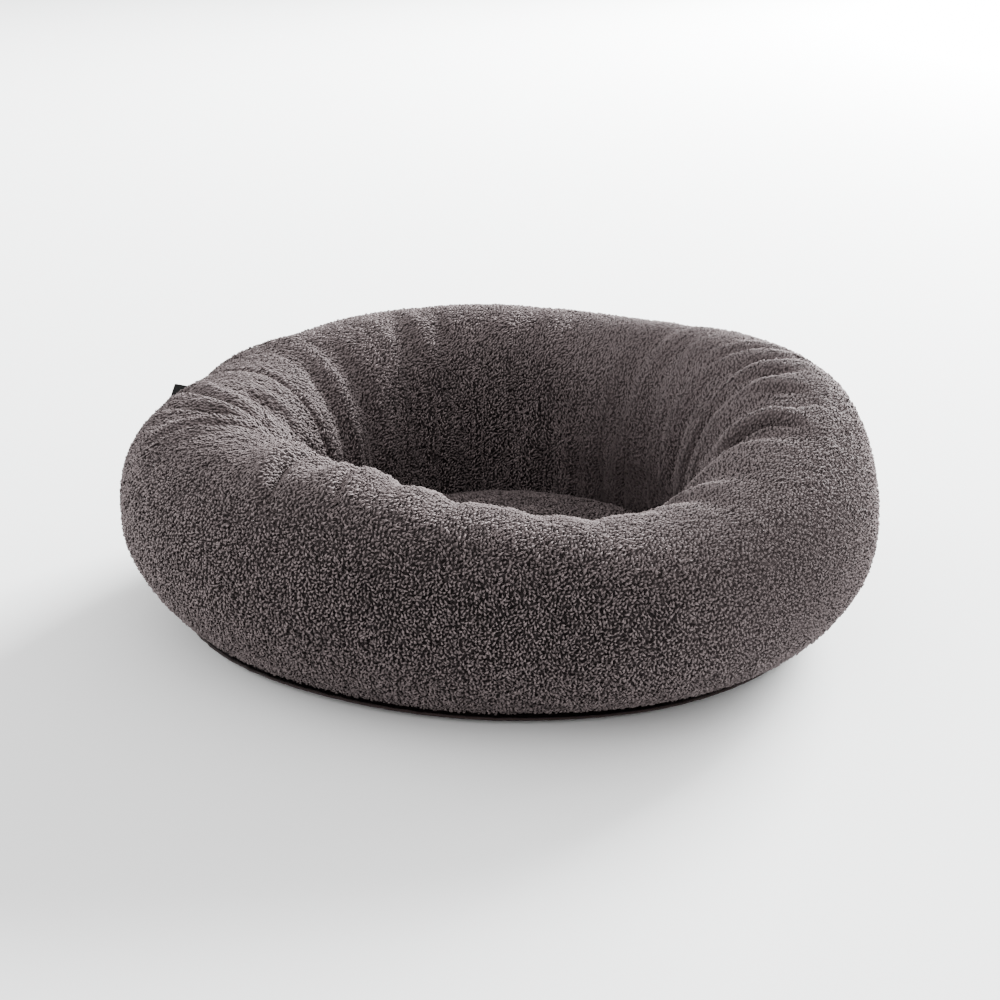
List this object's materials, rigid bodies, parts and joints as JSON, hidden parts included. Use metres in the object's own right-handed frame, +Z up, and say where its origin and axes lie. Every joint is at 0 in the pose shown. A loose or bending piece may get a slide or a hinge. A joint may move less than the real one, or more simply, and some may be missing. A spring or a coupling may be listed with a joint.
{
  "type": "donut pet bed",
  "caption": "Round plush pet bed: a stuffed ring with gathers down its inner slope, sewn round a sunken padded floor on a dark base cloth, with a blank tape tab.",
  "frame": {"origin": "middle of the flat underside of the base cloth, on the floor", "axes": "+Z up, -Y towards the low front of the ring, +X to the right as seen from the front"},
  "size_m": [0.6032, 0.5959, 0.189],
  "materials": {
    "plush": "curly grey-brown pile",
    "base_cloth": "woven, dark brown",
    "tape": "woven tape, black"
  },
  "bodies": {
    "root": {"ring_bolster": "plush", "floor_pad": "plush", "base_panel": "base_cloth", "label_tab": "tape"}
  },
  "joints": []
}
